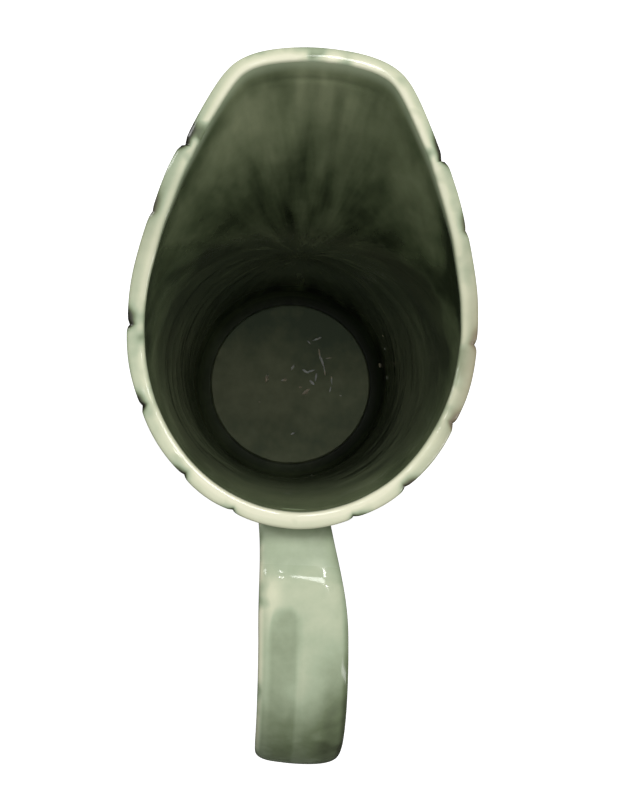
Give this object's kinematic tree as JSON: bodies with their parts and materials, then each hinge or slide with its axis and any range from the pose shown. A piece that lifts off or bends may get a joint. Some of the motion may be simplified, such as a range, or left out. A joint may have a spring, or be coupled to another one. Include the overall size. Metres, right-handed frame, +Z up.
{
  "type": "ceramic pitcher",
  "caption": "Tall glazed ceramic pitcher with a broad squared pouring spout, upright leaf panels round the body and a wide strap handle.",
  "frame": {"origin": "middle of the footprint (the box round the whole pitcher, seen from above) at the level of the table it stands on", "axes": "+Z up; -Y towards the spout and +Y towards the handle; +X to the right of someone who looks along +Y, from the spout to the handle"},
  "size_m": [0.1122, 0.2259, 0.2196],
  "materials": {
    "celadon_glaze": "gloss",
    "floor_glaze": "gloss",
    "bare_clay": "matte"
  },
  "bodies": {
    "root": {"body_wall": "celadon_glaze", "spout": "celadon_glaze", "floor": "floor_glaze", "foot_ring": "bare_clay", "handle": "celadon_glaze", "upper_handle_lute": "celadon_glaze", "lower_handle_lute": "celadon_glaze"}
  },
  "joints": []
}
